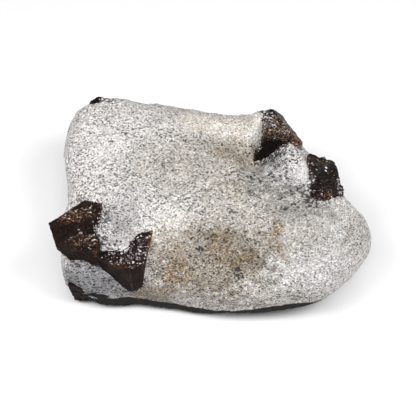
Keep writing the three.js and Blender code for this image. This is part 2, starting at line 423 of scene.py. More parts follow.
# %% [markdown]
# ## The surface of a prism
#
# Perfect planes would look cut by a machine. Taking a high power mean in place of the
# nearest face rounds the edges a little, and a power that wanders gives the chipped, uneven
# edges of a crystal that has weathered out of its rock. On top of this comes a relief: soft
# pits, or for the most weathered arm sharp ridges, which are noise with its sign removed.

# %% Surface of one prism
SHARPNESS = 70
SHARPNESS_WANDER = 0.55
WANDER_SIZE = 2.5
SURFACE_DROP = 0.06


def prism_surface(crystal, cells, relief, seed):
    """Points at r = 1 / (sum of (n.w / d)^p)^(1/p) along directions w, spread evenly over a
    sphere: out becomes the height 1 - out^2 on it. relief lists (lattice size, depth,
    ridged): pits go in by depth times (1 + noise) / 2, ridges by depth times |noise|."""
    centre, faces = np.array(crystal[0], float), crystal[1]
    out, turn, sheet, quads = pillow(cells)
    flat = out * np.sqrt(2 - out**2)
    way = np.stack([flat * np.cos(turn), flat * np.sin(turn), sheet * (1 - out**2)], axis=1)
    normals, distances = face_planes(faces)
    meets = np.clip(way @ normals.T, 0, None) / distances
    nearest = meets.max(axis=1, keepdims=True)
    wander = soft_noise(way * distances.mean() + centre, WANDER_SIZE, seed)
    power = (SHARPNESS * (1 + SHARPNESS_WANDER * wander))[:, None]
    closeness = nearest * ((meets / nearest) ** power).sum(axis=1, keepdims=True) ** (1 / power)
    radius = 1 / closeness[:, 0]
    points = centre + way * radius[:, None]
    depth = SURFACE_DROP
    for step, (size, deep, ridged) in enumerate(relief):
        waves = soft_noise(points, size, seed + 1 + step)
        depth = depth + deep * (2 * abs(waves) if ridged else (1 + waves) / 2)
    return points - way * depth[:, None], quads


# %% [markdown]
# ## Crossed arms
#
# Where two crystals have grown through each other they are one twin. Each arm is made as
# its own closed surface, and a Boolean modifier with the Manifold solver welds the arms
# into one closed mesh, which is applied at once. The hidden middle of the right cross is
# a plain block that carries both of its arms.


# %% Weld crystals into twins
def weld(name, arms):
    """Union of closed meshes: the first piece takes the others in, one after another."""
    whole = arms[0]
    whole.name = name
    for arm in arms[1:]:
        join = whole.modifiers.new("weld", "BOOLEAN")
        join.operation = "UNION"
        join.solver = "MANIFOLD"
        join.object = arm
        shape = whole.evaluated_get(bpy.context.evaluated_depsgraph_get())
        welded = bpy.data.meshes.new_from_object(shape)
        whole.modifiers.remove(join)
        whole.data = welded
        bpy.data.objects.remove(arm)
    whole.data.name = name
    return whole


ROUGH_FACE = [((1.6, 1.6, 1.6), 0.34, False), ((0.6, 0.6, 0.6), 0.26, False)]
SMOOTH_FACE = [((2.6, 2.6, 5.0), 0.20, False), ((0.8, 0.8, 2.2), 0.08, False)]
RIDGED_FACE = [((2.6, 1.5, 3.0), 0.80, True), ((0.9, 0.8, 1.2), 0.40, False)]
FIRST_SEED = 20
SEED_STEP = 7


def crystal_piece(name, arms):
    """One piece of one or more prisms, each with its own relief and number of cells."""
    pieces = []
    for k, (crystal, relief, cells) in enumerate(arms):
        surface = prism_surface(crystal, cells, relief, FIRST_SEED + SEED_STEP * k)
        pieces.append(mesh_piece(f"{name}_{k}", *surface))
    piece = weld(name, pieces)
    piece.data.shade_smooth()
    print(name, "has", sum(len(face.vertices) - 2 for face in piece.data.polygons), "triangles")
    return piece


CRYSTALS = {
    "left_cross": [(LEFT_ARM_OUT, ROUGH_FACE, 66), (LEFT_ARM_FRONT, SMOOTH_FACE, 66)],
    "right_cross": [(RIGHT_ARM_BACK, ROUGH_FACE, 62), (RIGHT_ARM_END, RIDGED_FACE, 66),
                    (RIGHT_CROSS_CORE, SMOOTH_FACE, 20)],
    "corner_crystal": [(CORNER_CRYSTAL, ROUGH_FACE, 44)],
    "edge_crystal": [(EDGE_CRYSTAL, ROUGH_FACE, 40)],
}
crystals = {name: crystal_piece(f"{name}_skin", arms) for name, arms in CRYSTALS.items()}

# %% [markdown]
# ## The schist as one piece
#
# The rock needs no weld, since its grid is closed already. It has the most cells of all the
# pieces, because its grain shows everywhere, and it stays a mesh: a bump alone would leave
# the outline of the stone, and the line where rock meets crystal, too smooth.

# %% The schist's piece
stone = mesh_piece("schist_skin", *schist_surface())
print(stone.name, "has", 2 * len(stone.data.polygons), "triangles")

# %% [markdown]
# ## What each point knows about its neighbours
#
# The rock is painted darker where it touches a crystal, as shade in the contact, and laps
# over it in flakes, crystals wear first along their edges, and the undercut front is painted
# near black as shade, below the rim and below a line that climbs from left to right. A
# material can't measure this, so it is worked out for every point and stored as a field.
# The outside distance to a crystal is the largest n.p - d over its faces, and an edge is
# where the two largest of them are nearly the same.

# %% Fields for the materials
# Painted shade: how far the darkening next to a crystal reaches, in millimetres.
CONTACT_SHADE_REACH = 2.0
EDGE_REACH = 1.1
LAP_REACH = 1.2
# Painted shade: the undercut front goes dark below the rim, towards the front, and below a line
# that climbs from left to right.
UNDER_ROUND_RIM = (-1.2, 0.0)
UNDER_TOWARDS_FRONT = (21, 29)
UNDERSIDE_SHADE_LINE = [(-38, 5.4), (-20, 7.4), (-8, 9.5)]
UNDERSIDE_SHADE_SOFT = 1.5

nearest = distance_to_crystals(points_of(stone))
field(stone, "contact", np.exp(-np.clip(nearest, 0, None) / CONTACT_SHADE_REACH))
x, y, z = points_of(stone).T
rim_z = rim_at(np.arctan2(y - CORE[1], x - CORE[0]), 1)[1]
low = smooth_step(np.interp(x, *zip(*UNDERSIDE_SHADE_LINE)) - z, 0, UNDERSIDE_SHADE_SOFT)
front = smooth_step(-y, *UNDER_TOWARDS_FRONT)
field(stone, "under", low * front * smooth_step(rim_z - z, *UNDER_ROUND_RIM))
for name, arms in CRYSTALS.items():
    points = points_of(crystals[name])
    first, second = np.stack([distance_to(arm[0], points) for arm in arms], axis=1)
    owner = first.argmin(axis=0)
    gap = np.take_along_axis(first - second, owner[None], axis=0)[0]
    field(crystals[name], "edge", np.exp(-gap / EDGE_REACH))
    over = np.clip(height_over_stone(points), 0, None)
    field(crystals[name], "lapped", np.exp(-over / LAP_REACH))
    print(name, "reaches", round(float(over.max()), 1), "mm over the upper face or the rim")

# %% [markdown]
# ## Small tools for node trees
#
# A finish is a tree of nodes. To keep each tree short to read, one helper adds a node,
# sets its choices and fills its inputs with numbers or with other nodes' outputs. An
# effect that is used again and again, such as the mica plates that both finishes carry, is
# a node group with named inputs and outputs, made once.


# %% Node helpers
def fill(tree, node, inputs):
    """Fills a node's inputs. One is named by its socket, with _ for a space, or i0, i1 by
    its number, and takes a number, a colour or another node's output."""
    for name, value in inputs.items():
        key = int(name[1:]) if name[0] == "i" and name[1:].isdigit() else name.replace("_", " ")
        if isinstance(value, bpy.types.NodeSocket):
            tree.links.new(value, node.inputs[key])
        else:
            node.inputs[key].default_value = value


def put(tree, kind, settings=None, **inputs):
    """Adds a node, sets its choices and fills its inputs."""
    made = tree.nodes.new(kind)
    for name, value in (settings or {}).items():
        setattr(made, name, value)
    fill(tree, made, inputs)
    return made


def use(tree, group, **inputs):
    """Places a group in a tree and returns its outputs."""
    return put(tree, "ShaderNodeGroup", {"node_tree": group}, **inputs).outputs


def maths(tree, operation, first, second, clamp=False):
    """One Math node's output."""
    choices = {"operation": operation, "use_clamp": clamp}
    return put(tree, "ShaderNodeMath", choices, i0=first, i1=second).outputs[0]


def times(tree, first, second):
    """The product of two numbers."""
    return maths(tree, "MULTIPLY", first, second)


def vector_maths(tree, operation, first, **others):
    """One Vector Math node's vector."""
    choices = {"operation": operation}
    return put(tree, "ShaderNodeVectorMath", choices, i0=first, **others).outputs[0]


def blend(tree, share, below, above, mode="MIX"):
    """Mixes two colours by a share from 0 to 1."""
    choices = {"data_type": "RGBA", "blend_type": mode}
    return put(tree, "ShaderNodeMix", choices, i0=share, i6=below, i7=above).outputs[2]


def between(tree, value, low, high, to_low=0.0, to_high=1.0):
    """A smooth step from to_low at low to to_high at high."""
    choices = {"interpolation_type": "SMOOTHSTEP"}
    return put(tree, "ShaderNodeMapRange", choices, Value=value, From_Min=low, From_Max=high,
               To_Min=to_low, To_Max=to_high).outputs[0]


def stored(tree, name):
    """A field that was stored with the mesh's points."""
    return put(tree, "ShaderNodeAttribute", {"attribute_name": name}).outputs["Fac"]


def rgba(colour, strength=1):
    """A linear colour times a strength, with the alpha that sockets ask for."""
    return (*(part * strength for part in colour), 1)


def start_group(name, inputs, outputs):
    """An empty node group with named sockets, {name: type} in and out. Each place that uses
    the group gives its own values."""
    tree = bpy.data.node_groups.new(name, "ShaderNodeTree")
    for way, sockets in (("INPUT", inputs), ("OUTPUT", outputs)):
        for label, kind in sockets.items():
            tree.interface.new_socket(label, in_out=way, socket_type=f"NodeSocket{kind}")
    return tree, tree.nodes.new("NodeGroupInput").outputs, tree.nodes.new("NodeGroupOutput").inputs


# %% [markdown]
# ## Mica plates
#
# Schist glitters because it is a pack of small flat mica plates, each turned its own way.
# A Voronoi texture cuts space into cells, and gives each cell a random colour. One part of
# that colour becomes the plate's tone and another its chance, for a finish to pick plates
# by, and the whole of it tips the plate's normal, so that some plates catch a light and
# their neighbours don't. The cells are flat, as the plates are, and a noise pushes their
# outlines about, because real plates are torn and never round.

# %% Group: mica plates
HALF = (0.5, 0.5, 0.5)
PLATE_SQUEEZE = (0.85, 1.0, 1.6)
plates, given, gives = start_group(
    "mica plates",
    {"Place": "Vector", "Plate size": "Float", "Tip": "Float", "Tear": "Float"},
    {"Tone": "Float", "Chance": "Float", "Normal": "Vector"})
per_mm = maths(plates, "DIVIDE", 1.0, given["Plate size"])
push = put(plates, "ShaderNodeTexNoise", Vector=given["Place"], Scale=per_mm, Detail=1.0)
push = vector_maths(plates, "SUBTRACT", push.outputs["Color"], i1=HALF)
push = vector_maths(plates, "SCALE", push, Scale=given["Tear"])
torn = vector_maths(plates, "ADD", given["Place"], i1=push)
torn = vector_maths(plates, "MULTIPLY", torn, i1=PLATE_SQUEEZE)
cells = put(plates, "ShaderNodeTexVoronoi", {"feature": "F1"}, Vector=torn, Scale=per_mm)
parts = put(plates, "ShaderNodeSeparateColor", i0=cells.outputs["Color"])
plates.links.new(parts.outputs[0], gives["Tone"])
plates.links.new(parts.outputs[1], gives["Chance"])
spread = vector_maths(plates, "SUBTRACT", cells.outputs["Color"], i1=HALF)
tipped = vector_maths(plates, "SCALE", spread, Scale=given["Tip"])
facing = put(plates, "ShaderNodeNewGeometry").outputs["Normal"]
turned = vector_maths(plates, "ADD", facing, i1=tipped)
plates.links.new(vector_maths(plates, "NORMALIZE", turned), gives["Normal"])
print(plates.name, "group has", len(plates.nodes), "nodes")

# %% [markdown]
# ## Scattered grains
#
# Dark biotite and specks of dirt lie scattered over the schist. In a Voronoi texture the
# distance to the nearest cell centre makes a round dot in each cell, and the cell's own
# random number decides whether its dot is there at all.

# %% Group: scattered grains
grains, given, gives = start_group(
    "scattered grains",
    {"Place": "Vector", "Spacing": "Float", "Grain size": "Float", "Share": "Float"},
    {"Mask": "Float"})
per_mm = maths(grains, "DIVIDE", 1.0, given["Spacing"])
cells = put(grains, "ShaderNodeTexVoronoi", {"feature": "F1"}, Vector=given["Place"], Scale=per_mm)
reach = maths(grains, "DIVIDE", given["Grain size"], given["Spacing"])
inside = maths(grains, "LESS_THAN", cells.outputs["Distance"], reach)
parts = put(grains, "ShaderNodeSeparateColor", i0=cells.outputs["Color"])
present = maths(grains, "LESS_THAN", parts.outputs[0], given["Share"])
grains.links.new(times(grains, inside, present), gives["Mask"])
print(grains.name, "group has", len(grains.nodes), "nodes")

# %% [markdown]
# ## Patches
#
# Stains and coatings lie in places of their own. A patch is an ellipsoid round a place,
# whose outline is pushed in and out by a noise that the material shares among all of its
# patches.

# %% Group: patch
PATCH_NONE = 1.15
PATCH_FULL = 0.55
patch, given, gives = start_group(
    "patch",
    {"Place": "Vector", "Centre": "Vector", "Size": "Vector", "Noise": "Float", "Rag": "Float"},
    {"Mask": "Float"})
offset = vector_maths(patch, "SUBTRACT", given["Place"], i1=given["Centre"])
scaled = vector_maths(patch, "DIVIDE", offset, i1=given["Size"])
far = put(patch, "ShaderNodeVectorMath", {"operation": "LENGTH"}, i0=scaled)
push = times(patch, maths(patch, "SUBTRACT", given["Noise"], 0.5), given["Rag"])
edge = maths(patch, "ADD", far.outputs["Value"], push)
patch.links.new(between(patch, edge, PATCH_NONE, PATCH_FULL), gives["Mask"])
print(patch.name, "group has", len(patch.nodes), "nodes")


def patches(tree, place, ragged, spots, rag=1.4):
    """Sum of patches, each (strength, centre in mm, half-size in mm). The noise moves their
    outlines by up to half of rag times the half-size."""
    total = 0.0
    for strength, centre, size in spots:
        at = tuple(np.array(centre, float) + MIDDLE)
        mask = use(tree, patch, Place=place, Centre=at, Size=size, Noise=ragged, Rag=rag)[0]
        total = maths(tree, "ADD", total, times(tree, mask, strength), clamp=True)
    return total


def millimetres(tree):
    """Object coordinates in millimetres, so that every size in a tree is a real one."""
    place = put(tree, "ShaderNodeTexCoord").outputs["Object"]
    return vector_maths(tree, "SCALE", place, Scale=1 / MM)


def noise(tree, place, size, detail, rough):
    """Noise from 0 to 1 with lumps of this size in millimetres. detail adds finer lumps, and
    rough says how strong they are."""
    return put(tree, "ShaderNodeTexNoise", Vector=place, Scale=1 / size, Detail=detail,
               Roughness=rough).outputs[0]


def new_finish(name):
    """An empty material and its node tree."""
    material = bpy.data.materials.new(name)
    material.use_nodes = True
    return material, material.node_tree


def set_shader(tree, **inputs):
    """Fills the inputs of the Principled shader that every new material has."""
    fill(tree, tree.nodes["Principled BSDF"], inputs)
    print("a finish of", len(tree.nodes), "nodes is made")


# %% [markdown]
# ## The schist's finish
#
# The rock is pale silvery grey. Its tone comes from the plates and from a slow drift over
# the whole stone, and each kind of stain multiplies it by a colour of its own: warm tan
# where the surface is old, and rust where iron has bled out. A blue grey is painted shade
# under and beside the staurolite and over the lower right, and a brown low on the front is
# partly dirt and partly painted shade. Some places are paler: paler rock, and painted light
# on the back rim and on swells that face the lamps. Biotite adds black pinpricks, and the
# undercut front edge is painted near black as shade, next to a dark strip by the corner
# crystal.
#
# Painting all this on an image would tie it to one view and one size. Here each stain and
# each patch of painted light or shade is a row of a table instead: a strength from 0 to 1,
# the centre of a patch and its half-size in millimetres, under the tint that it gives.

# %% Where the schist is stained
# Paler rock, and painted light on the back rim and on swells that face the lamps.
PALE_AND_PAINTED_LIGHT_PLACES = [
    (0.9, (2, 24, 25), (18, 6, 8)), (1.0, (12, 21, 27), (6, 6, 8)),
    (1.0, (28.5, 4.5, 26), (4, 6, 6)), (0.6, (-11, -17, 22), (8, 6, 8)),
    (0.15, (-30, 20, 24), (20, 20, 12)), (0.6, (28, -20, 20), (18, 16, 12)),
]
STAINS_AND_PAINTED_SHADE = {
    # Painted shade: blue grey under and beside the crystals and over the lower right.
    (0.42, 0.43, 0.46): [
        (0.35, (19.5, 8.0, 26), (8, 3.5, 7)), (0.5, (18, 0.5, 24), (11, 7, 8)),
        (0.4, (26, -8, 24), (12, 7, 8)), (0.22, (-28, -19, 25), (5, 8, 5)),
        (0.9, (-36, -28.5, 13), (9, 6, 9)), (0.75, (-27.5, -30, 10), (6, 4, 6)),
        (0.33, (27, -20, 20), (17, 16, 12)), (0.2, (-24, -14, 25), (7, 7, 6)),
    ],
    (0.62, 0.57, 0.47): [
        (0.6, (9, 13.5, 23), (10, 6.5, 8)), (0.35, (44, -16, 18), (5, 9, 7)),
        (0.5, (-4, 6, 24), (24, 14, 10)), (0.5, (16, -14, 22), (26, 16, 12)),
    ],
    # Brown low on the front: partly dirt, and partly painted shade that keeps the front face
    # darker.
    (0.44, 0.395, 0.32): [
        (0.75, (0, -25, 18), (22, 11, 11)), (0.4, (-5, -32, 8), (22, 5, 6)),
        (0.8, (-18, -31, 8), (8, 5, 6)), (0.35, (18, -33, 10), (18, 6, 6)),
    ],
    (0.99, 0.95, 0.89): [(1.0, (6, 26, 25), (24, 9, 9)), (0.6, (-12, -20, 22), (8, 8, 8))],
}
BLOTS = {
    (0.70, 0.53, 0.33): [
        (0.9, (-9.4, -28, 15), (5, 5, 5)), (0.8, (3, -20.4, 21), (5, 4, 5)),
        (0.7, (7, -25, 19), (7, 3.4, 5)), (0.3, (-16, -21, 20), (2, 4, 5)),
        (0.25, (12.4, 12.0, 22), (3.5, 3, 5)), (0.35, (-2, -27, 16), (19, 8, 9)),
    ],
    (0.52, 0.31, 0.13): [
        (1.0, (19.9, -17.4, 22.7), (1.8, 2.6, 4)), (0.5, (17.5, -20.5, 21), (2.2, 3, 4)),
        (0.6, (20.3, -23.6, 20), (2.6, 2.4, 4)), (0.6, (1.5, -19.5, 21), (1.6, 1.6, 4)),
        (0.5, (-10.5, -27, 16), (2.4, 2.4, 4)),
    ],
}
DIRT_SPECKS = [(1.0, (0, -26, 18), (21, 10, 10)), (0.7, (18, -18, 22), (7, 8, 8))]
DARK_STRIP = [(1.0, (-33.0, -30.4, 6.6), (4.2, 3.0, 1.3))]
# Painted shade: dark plates in the hollows under the right cross and beside the crystals.
PAINTED_SHADE_FLAKES = [
    (0.60, (18.0, 9.8, 25), (6.5, 2.4, 6)), (0.25, (25.5, 7.5, 26.5), (4, 3.5, 6)),
    (0.16, (17, 3, 25), (9, 6, 8)), (0.20, (28, -6.5, 24), (9, 5, 8)),
    (0.08, (-29, -19, 24), (4, 9, 6)), (0.05, (-34, -29, 12), (10, 6, 10)),
    (0.05, (10, 13.5, 23), (9, 5, 8)), (0.05, (0, -26, 17), (20, 10, 10)),
    (0.60, (8.3, -29.2, 15.8), (1.5, 3, 1.6)), (0.40, (-31, 31.5, 27), (4, 3, 5)),
]
# Painted shade against the crystals, where the stored contact field lets it through.
CONTACT_SHADE_PLACES = [
    (0.4, (-32, -18, 24), (5, 12, 8)), (0.4, (20, 9, 26), (9, 5, 8)),
    (0.5, (31, -5, 24), (5, 6, 8)), (0.2, (-32, -29, 14), (14, 8, 12)),
]
BIOTITE_SPOTS = [
    (-7.3, -7.7, 24.3), (11.7, -3.9, 23.9), (15.3, -1.1, 24.4), (25.2, -10.8, 23.1),
    (28.0, -12.8, 23.1), (44.5, -18.3, 16.6), (-39.0, -5.8, 22.6), (-2.5, -31.0, 11.0),
]

# %% Plates and tones of the schist
SMALL_PLATES = {"Plate_size": 0.35, "Tip": 0.9, "Tear": 0.3}
LARGE_PLATES = {"Plate_size": 0.62, "Tip": 0.9, "Tear": 0.4}
SMALL_SHARE = 0.88
DRIFT = {"size": 7.0, "detail": 4.0, "rough": 0.6}
DRIFT_STRENGTH = 0.35
PALE_AND_LIGHT_STRENGTH = 0.16
PLATE_TONES = [
    (0.00, (0.020, 0.019, 0.019)), (0.15, (0.10, 0.096, 0.093)), (0.28, (0.34, 0.326, 0.316)),
    (0.52, (0.50, 0.481, 0.466)), (0.78, (0.63, 0.607, 0.589)), (0.95, (0.93, 0.905, 0.885)),
]


def plates_and_tone(tree, place, ragged):
    """Small and large plates, and a tone from 0 to 1: a mix of theirs, which drifts slowly
    over the stone and rises in the pale places: paler rock, and painted light on the back rim
    and on swells that face the lamps."""
    small = use(tree, plates, Place=place, **SMALL_PLATES)
    large = use(tree, plates, Place=place, **LARGE_PLATES)
    tone = maths(tree, "ADD", times(tree, small["Tone"], SMALL_SHARE),
                 times(tree, large["Tone"], 1 - SMALL_SHARE))
    drift = maths(tree, "SUBTRACT", noise(tree, place, **DRIFT), 0.5)
    tone = maths(tree, "ADD", tone, times(tree, drift, DRIFT_STRENGTH))
    pale = patches(tree, place, ragged, PALE_AND_PAINTED_LIGHT_PLACES)
    tone = maths(tree, "ADD", tone, times(tree, pale, PALE_AND_LIGHT_STRENGTH), clamp=True)
    return small, large, tone


def plate_ramp(tree, tone):
    """Turns the tone into mineral colours, from nearly black through greys to silver."""
    ramp = put(tree, "ShaderNodeValToRGB", Fac=tone)
    stops = ramp.color_ramp.elements
    for k, (place, colour) in enumerate(PLATE_TONES):
        stop = stops[k] if k < 2 else stops.new(place)
        stop.position = place
        stop.color = rgba(colour)
    return ramp.outputs[0]


# %% Stains, painted shade, blots and dirt on the schist
BLOTCHES = {"size": 0.9, "detail": 4.0, "rough": 0.75}
BLOTCH_EDGES = (0.42, 0.56)
DIRT_GRAINS = {"Spacing": 1.1, "Grain_size": 0.26, "Share": 0.45}
DIRT_BROWN = (0.085, 0.052, 0.028)
SPECK_COVER = 0.8


def stain(tree, colour, share, tint):
    """Multiplies a colour by a tint as far as the share says."""
    return blend(tree, share, colour, rgba(tint), "MULTIPLY")


def stained_and_shaded(tree, place, ragged, colour):
    """Stains and painted shade as they are, blots where a fine noise lets them through, and
    dirt in specks.
    """
    for tint, spots in STAINS_AND_PAINTED_SHADE.items():
        colour = stain(tree, colour, patches(tree, place, ragged, spots), tint)
    blotches = between(tree, noise(tree, place, **BLOTCHES), *BLOTCH_EDGES)
    for tint, spots in BLOTS.items():
        share = times(tree, patches(tree, place, ragged, spots), blotches)
        colour = stain(tree, colour, share, tint)
    specks = use(tree, grains, Place=place, **DIRT_GRAINS)[0]
    specks = times(tree, specks, patches(tree, place, ragged, DIRT_SPECKS))
    return blend(tree, times(tree, specks, SPECK_COVER), colour, rgba(DIRT_BROWN))


# %% Painted shade in flakes, biotite, and painted shade on the undercut front
# Painted shade: the tint of the darkened plates in hollows and against crystals.
SHADE_FLAKE_TINT = (0.17, 0.17, 0.185)
BIOTITE_GRAINS = [
    {"Spacing": 1.4, "Grain_size": 0.21, "Share": 0.32},
    {"Spacing": 4.4, "Grain_size": 0.40, "Share": 0.24},
]
BIOTITE_SIZE = (0.55, 0.45, 0.6)
BIOTITE_RAG = 0.8
BIOTITE_BLACK = (0.026, 0.026, 0.028)
STRIP_RAG = 0.9
# Painted shade of the undercut front, shared with the dark strip by the corner crystal: its rag,
# its edges and its near-black colour.
SHADE_AND_STRIP_RAG = 0.6
SHADE_AND_STRIP_EDGES = (0.65, 0.95)
SHADE_AND_STRIP_BLACK = (0.014, 0.012, 0.011)


def painted_shade_flakes(tree, place, ragged, large, colour):
    """Painted shade: darkens the large plates whose chance is below the share of dark ones,
    in hollows and against a crystal. A patch gives the share, or the contact with a crystal
    does."""
    contact = times(tree, stored(tree, "contact"),
                    patches(tree, place, ragged, CONTACT_SHADE_PLACES))
    share = maths(tree, "ADD", contact, patches(tree, place, ragged, PAINTED_SHADE_FLAKES))
    return stain(tree, colour, maths(tree, "LESS_THAN", large["Chance"], share), SHADE_FLAKE_TINT)


def biotite(tree, place, ragged, colour):
    """Black dots of two sizes all over, and larger ones in places of their own."""
    small, large = (use(tree, grains, Place=place, **dots)[0] for dots in BIOTITE_GRAINS)
    spots = [(1.0, spot, BIOTITE_SIZE) for spot in BIOTITE_SPOTS]
    black = maths(tree, "MAXIMUM", maths(tree, "MAXIMUM", small, large),
                  patches(tree, place, ragged, spots, BIOTITE_RAG))
    return blend(tree, times(tree, black, SPECK_COVER), colour, rgba(BIOTITE_BLACK))


def underside_shade_and_strip(tree, place, ragged):
    """Painted shade on the undercut front, from the stored field, and the dark strip beside
    the corner crystal, with a ragged outline.
    """
    shade_and_strip = maths(tree, "ADD", stored(tree, "under"),
                 patches(tree, place, ragged, DARK_STRIP, STRIP_RAG))
    shade_and_strip = maths(tree, "ADD", shade_and_strip, times(tree, ragged, SHADE_AND_STRIP_RAG))
    return between(tree, shade_and_strip, *SHADE_AND_STRIP_EDGES)


# %% Finish: mica schist
SCHIST_OUTLINES = {"size": 2.6, "detail": 4.0, "rough": 0.7}
SCHIST_GRAIN = {"size": 0.5, "detail": 3.0, "rough": 0.6}
SCHIST_BUMP = 0.5
SCHIST_BUMP_DEPTH = 0.12 * MM
SCHIST_SHINE = 0.35
CHANCES = (0.05, 0.75)
ROUGHNESSES = (0.24, 0.75)


def schist_finish():
    """Mica plates of drifting tone, stained in places and painted with light and shade, with
    biotite pinpricks, and the undercut front painted near black as shade. A plate's chance
    sets how glossy it is, and the painted shade is dull."""
    material, tree = new_finish("mica schist")
    place = millimetres(tree)
    ragged = noise(tree, place, **SCHIST_OUTLINES)
    small, large, tone = plates_and_tone(tree, place, ragged)
    colour = stained_and_shaded(tree, place, ragged, plate_ramp(tree, tone))
    # Painted shade: plates darkened in hollows and against the crystals.
    colour = painted_shade_flakes(tree, place, ragged, large, colour)
    colour = biotite(tree, place, ragged, colour)
    # Painted shade: the undercut front and the strip beside the corner crystal turn near black and
    # dull.
    shade_and_strip = underside_shade_and_strip(tree, place, ragged)
    colour = blend(tree, shade_and_strip, colour, rgba(SHADE_AND_STRIP_BLACK))
    rough = between(tree, small["Chance"], *CHANCES, *ROUGHNESSES)
    rough = maths(tree, "MAXIMUM", rough, shade_and_strip)
    height = maths(tree, "ADD", noise(tree, place, **SCHIST_GRAIN), tone)
    bump = put(tree, "ShaderNodeBump", Strength=SCHIST_BUMP, Distance=SCHIST_BUMP_DEPTH,
               Height=height, Normal=small["Normal"])
    set_shader(tree, Base_Color=colour, Roughness=rough, Normal=bump.outputs[0],
               Specular_IOR_Level=SCHIST_SHINE)
    return material


# %% [markdown]
# ## The staurolite's finish
#
# Fresh staurolite is a very dark red-brown, nearly black. The weathered faces carry tan
# crumbs and small silver plates left from the rock, and limonite, an orange-brown rust,
# which gathers along edges and in pits. Near the foot of a crystal the rock still laps over
# it, and in a few places it coats a whole edge. Each piece has its own values for how much
# of each it carries and where, so one function makes all of the crystals' materials. The
# layers lie over one another: brown, worn edges, crust, rust, crumbs, flecks and rock.

# %% Layers on a crystal
DARK_BROWN = (0.005, 0.003, 0.003)
CLOUD_BROWN = (0.0165, 0.0105, 0.0095)
PIT_BROWN = (0.048, 0.0245, 0.0185)
CLOUDS = {"size": 3.6, "detail": 3.0, "rough": 0.5}
CLOUD_EDGES = (0.4, 0.62)
PIT_EDGES = (0.48, 0.68)
WORN_BROWN = (0.13, 0.078, 0.053)
WORN_EDGES = (0.40, 0.6)
CRUST_BROWN = (0.070, 0.037, 0.021)
CRUST_EDGES = (0.46, 0.64)
CRUST_COVER = 0.6
RUST_ORANGE = (0.30, 0.105, 0.026)
RUST_EDGES = (0.46, 0.58)


def bare_crystal(tree, place, grain, base):
    """Brown in clouds of two tones, and lighter in the grain's pits."""
    clouds = between(tree, noise(tree, place, **CLOUDS), *CLOUD_EDGES)
    colour = blend(tree, clouds, rgba(DARK_BROWN), rgba(CLOUD_BROWN, base))
    pits = between(tree, grain, *PIT_EDGES)
    return blend(tree, pits, colour, rgba(PIT_BROWN, base))


def worn(tree, ragged, wear, colour):
    """Lighter brown along the edges, broken up by the ragged noise."""
    edge = times(tree, stored(tree, "edge"), ragged)
    share = times(tree, between(tree, edge, *WORN_EDGES), wear)
    return blend(tree, share, colour, rgba(WORN_BROWN))


def crust_and_rust(tree, grain, crust, rust, colour):
    """A thin brown crust and orange rust, both where the grain lets them through."""
    brown = times(tree, crust, between(tree, grain, *CRUST_EDGES, 0.0, CRUST_COVER))
    colour = blend(tree, brown, colour, rgba(CRUST_BROWN))
    orange = times(tree, rust, between(tree, grain, *RUST_EDGES))
    return blend(tree, orange, colour, rgba(RUST_ORANGE))


# %% Flakes on a crystal
CRUMB_PLATES = {"Plate_size": 0.34, "Tip": 0.9, "Tear": 0.5}
MICA_PLATES = {"Plate_size": 0.42, "Tip": 0.9, "Tear": 0.5}
CRUMB_TONES = {"low": (0.03, 0.016, 0.011), "high": (0.36, 0.24, 0.15), "power": 1.6}
FLECK_TONES = {"low": (0.040, 0.029, 0.031), "high": (0.75, 0.71, 0.72), "power": 2.3}
ROCK_TONES = {"low": (0.12, 0.114, 0.112), "high": (0.85, 0.82, 0.79), "power": 0.7}
GATHERS = {"size": 1.1, "detail": 3.0, "rough": 0.6}
GATHER_EDGES = (0.42, 0.62)
CRUMB_SHARES = (0.02, 0.7)
FLECK_SHARE = 0.55
LAP_RAG = 1.6
LAP_EDGES = (0.35, 0.95)


def flakes_over(tree, colour, share, flakes, low, high, power):
    """Covers a share of the surface with flakes that run from a dark to a light colour. A
    higher power leaves fewer of them light."""
    shown = maths(tree, "LESS_THAN", flakes["Tone"], share)
    bright = maths(tree, "POWER", flakes["Chance"], power)
    return blend(tree, shown, colour, blend(tree, bright, rgba(low), rgba(high)))


def crumbs_over(tree, place, crust, colour):
    """Tan crumbs on the crust, thick in some places and nearly missing in others."""
    gathered = between(tree, noise(tree, place, **GATHERS), *GATHER_EDGES, *CRUMB_SHARES)
    share = times(tree, crust, gathered)
    crumbs = use(tree, plates, Place=place, **CRUMB_PLATES)
    return flakes_over(tree, colour, share, crumbs, **CRUMB_TONES)


def rock_cover(tree, place, ragged, laps, coats):
    """Share of rock flakes: the lapped field, pushed about by the ragged noise, in the laps'
    patches, or the coats' patches where these say more."""
    uneven = times(tree, maths(tree, "SUBTRACT", ragged, 0.5), LAP_RAG)
    near = between(tree, maths(tree, "ADD", stored(tree, "lapped"), uneven), *LAP_EDGES)
    near = times(tree, near, patches(tree, place, ragged, laps))
    return maths(tree, "MAXIMUM", near, patches(tree, place, ragged, coats))


# %% Finish: staurolite
STAUROLITE_OUTLINES = {"size": 1.6, "detail": 4.0, "rough": 0.7}
STAUROLITE_GRAIN = {"size": 0.55, "detail": 4.0, "rough": 0.75}
STAUROLITE_BUMP_DEPTH = 0.25 * MM
GRAIN_SPREAD = (0.3, 0.7)
SMOOTHER = 0.12
ROUGHER = 0.25


